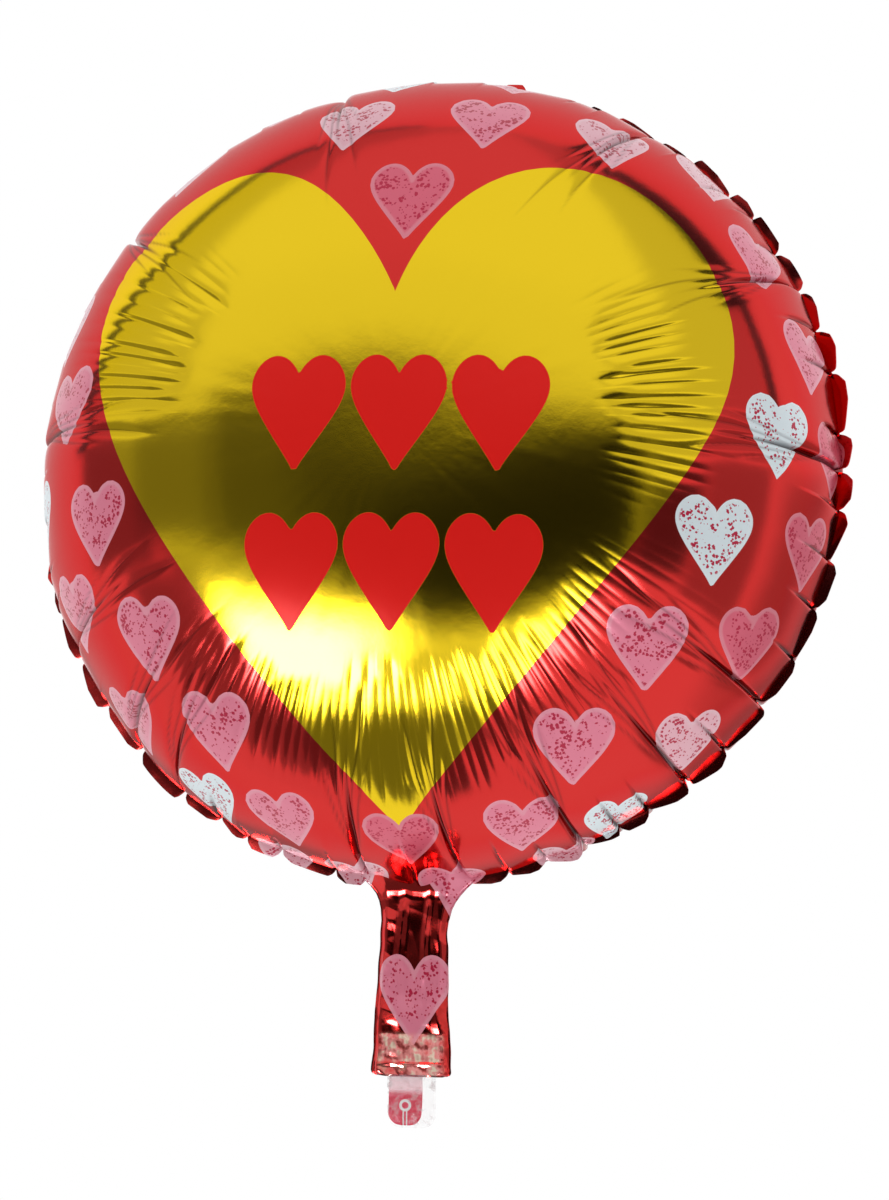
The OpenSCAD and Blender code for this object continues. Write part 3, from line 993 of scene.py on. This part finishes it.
# %% Room pattern
world = bpy.data.worlds.new("studio")
bpy.context.scene.world = world
world.use_nodes = True
room = world.node_tree
room.nodes.clear()
direction = node(room, "TexCoord", out="Generated")
east, north, up_axis = [node(room, "SeparateXYZ", [direction], out=axis) for axis in range(3)]
DEGREE = 180 / math.pi
south = node(room, "Math", [north, -1.0], operation="MULTIPLY")
turn = node(room, "Math", [east, south], operation="ARCTAN2")
turn = node(room, "Math", [turn, DEGREE], operation="MULTIPLY")
rise = node(room, "Math", [up_axis], operation="ARCSINE")
rise = node(room, "Math", [rise, DEGREE], operation="MULTIPLY")
side_turn = node(room, "Math", [turn], operation="ABSOLUTE")


def patch(value_turn, left, right, low, high, soft, soft_top):
    """1 inside a box of directions in degrees and 0 outside: the product of four soft steps, with
    an own softness for its top."""
    edges = ((value_turn, left - soft, left + soft), (value_turn, right + soft, right - soft),
             (rise, low - soft, low + soft), (rise, high + soft_top, high - soft_top))
    result = 1.0
    for value, outside, inside in edges:
        gate = node(room, "MapRange", [value, outside, inside], **SOFT)
        result = node(room, "Math", [result, gate], operation="MULTIPLY")
    return result


def level(below, where, value):
    """Moves a brightness to a new value where a patch is 1."""
    change = node(room, "Math", [value, below], operation="SUBTRACT")
    return node(room, "Math", [where, change, below], operation="MULTIPLY_ADD")


# turn from, to; rise from, to; softness and the top's softness; brightness. Turn 0 is straight in
# front and 90 is to the right. Later patches lie over earlier ones.
front_patches = [
    (-90, 90, 16, 95, 4, 4, 0.64), (-48, 24, 18, 95, 4, 4, 0.85), (-66, 44, 33, 95, 6, 4, 0.89),
    (-92, -60, -8, 14, 3, 1.5, 0.29), (-64, -34, -4, 15, 4, 1.5, 0.18), (-38, -12, -4, 17, 5, 2, 0.09),
    (-18, 34, -16, 15, 6, 3, 0.015), (32, 56, -16, 9, 5, 3, 0.12), (56, 90, -26, 12, 4, 3, 0.44),
    (-74, -50, -60, -8, 3, 3, 0.36), (-92, -74, -74, -12, 3, 3, 0.95),
    (-58, 16, -80, -40, 4, 4, 0.17), (14, 54, -54, -42, 4, 4, 0.42), (28, 92, -74, -52, 3, 3, 1.0),
    (-56, -24, -18, -4, 4, 4, 0.42), (-43, -13, -37, -10, 3, 3, 1.4), (-42, -15, -35, -14, 5, 5, 50.0),
    (-16, 14, -35, -22, 4, 4, 0.85), (12, 36, -42, -15, 3, 3, 1.2), (11, 26, -36, -22, 3, 3, 16.0),
    (38, 72, -40, -24, 4, 4, 1.0)]
# the sides and the back: the first value says whether left and right are alike
side_patches = [
    (side_turn, 146, 230, -30, 3, 10, 3, 0.5), (side_turn, 91, 98, 12, 78, 1, 2, 0.04),
    (turn, 82, 103, 42, 80, 3, 3, 0.04), (turn, 100, 140, -34, 10, 12, 8, 0.5)]
light = 1.0
for value_turn, *edges, value in [(turn, *row) for row in front_patches] + side_patches:
    light = level(light, patch(value_turn, *edges), value)
is_camera = node(room, "LightPath", out="Is Camera Ray")
seen = node(room, "Background", {"Color": (1, 1, 1, 1), "Strength": 1.0})
felt = node(room, "Background", {"Color": (1, 1, 1, 1), "Strength": light})
either = node(room, "MixShader", [is_camera, felt, seen])
node(room, "OutputWorld", {"Surface": either})
print(f"{len(front_patches) + len(side_patches)} patches of light and dark in the room")

# %% [markdown]
# ### The floor
# The balloon hangs in the air over a plain pale floor, which runs far enough
# to leave no edge near it. Gloss doesn't see the floor, so the room's pattern
# alone makes the reflections.

# %% Floor
FLOOR_HALF, FLOOR_Z = 80.0, -1.2                # in metres
corners = [(x * FLOOR_HALF, y * FLOOR_HALF, FLOOR_Z) for x, y in ((-1, -1), (1, -1), (1, 1), (-1, 1))]
floor_mesh = bpy.data.meshes.new("floor")
floor_mesh.from_pydata(corners, [], [(0, 1, 2, 3)])
floor = bpy.data.objects.new("floor", floor_mesh)
bpy.context.collection.objects.link(floor)
pale_paint, paint_tree = new_material("pale_studio_paint")
paint_shader = node(paint_tree, "BsdfPrincipled", {
    "Base Color": linear("F2F2F0"), "Roughness": 0.9,
    "Emission Color": linear("FFFFFF"), "Emission Strength": 0.08})
node(paint_tree, "OutputMaterial", {"Surface": paint_shader})
paint(pale_paint, floor)
floor.visible_glossy = False

# %% [markdown]
# ## Camera
# A long lens stands well away from the balloon, a little to the right and
# below its middle, and is tipped a few degrees, so that the balloon fills the
# upper frame and the neck hangs down to the lower edge.

# %% Camera
AZIMUTH, ELEVATION, ROLL = 12.82, -12.91, 2.99
DISTANCE = 10.979 * RIM_R
AIM_RIGHT, AIM_UP = 0.0144 * RIM_R, -0.3003 * RIM_R
LENS, SENSOR = 133.2, 36
a, e = math.radians(AZIMUTH), math.radians(ELEVATION)
middle = np.array([0, 0, CENTRE_Z])
away = np.array([math.sin(a) * math.cos(e), -math.cos(a) * math.cos(e), math.sin(e)])


def level_axes(back, roll):
    """The camera's right and up for a direction towards it, turned by a roll in degrees."""
    right = np.cross(-back, (0, 0, 1))
    right /= np.linalg.norm(right)
    up = np.cross(right, -back)
    c, s = math.cos(math.radians(roll)), math.sin(math.radians(roll))
    return c * right + s * up, -s * right + c * up


right, up = level_axes(away, ROLL)
eye = middle + away * DISTANCE
aim = middle + right * AIM_RIGHT + up * AIM_UP
back = (eye - aim) / np.linalg.norm(eye - aim)
right, up = level_axes(back, ROLL)
camera_data = bpy.data.cameras.new("camera")
camera_data.lens, camera_data.sensor_width = LENS, SENSOR
camera_data.clip_end = 50
camera = bpy.data.objects.new("camera", camera_data)
bpy.context.collection.objects.link(camera)
columns = np.eye(4)
columns[:3, 0], columns[:3, 1], columns[:3, 2], columns[:3, 3] = right, up, back, eye * MM
camera.matrix_world = Matrix(columns.tolist())
bpy.context.scene.camera = camera
bpy.context.scene.view_settings.view_transform = "Standard"
print("camera at", (eye * MM).round(3), "aimed at", (aim * MM).round(3))
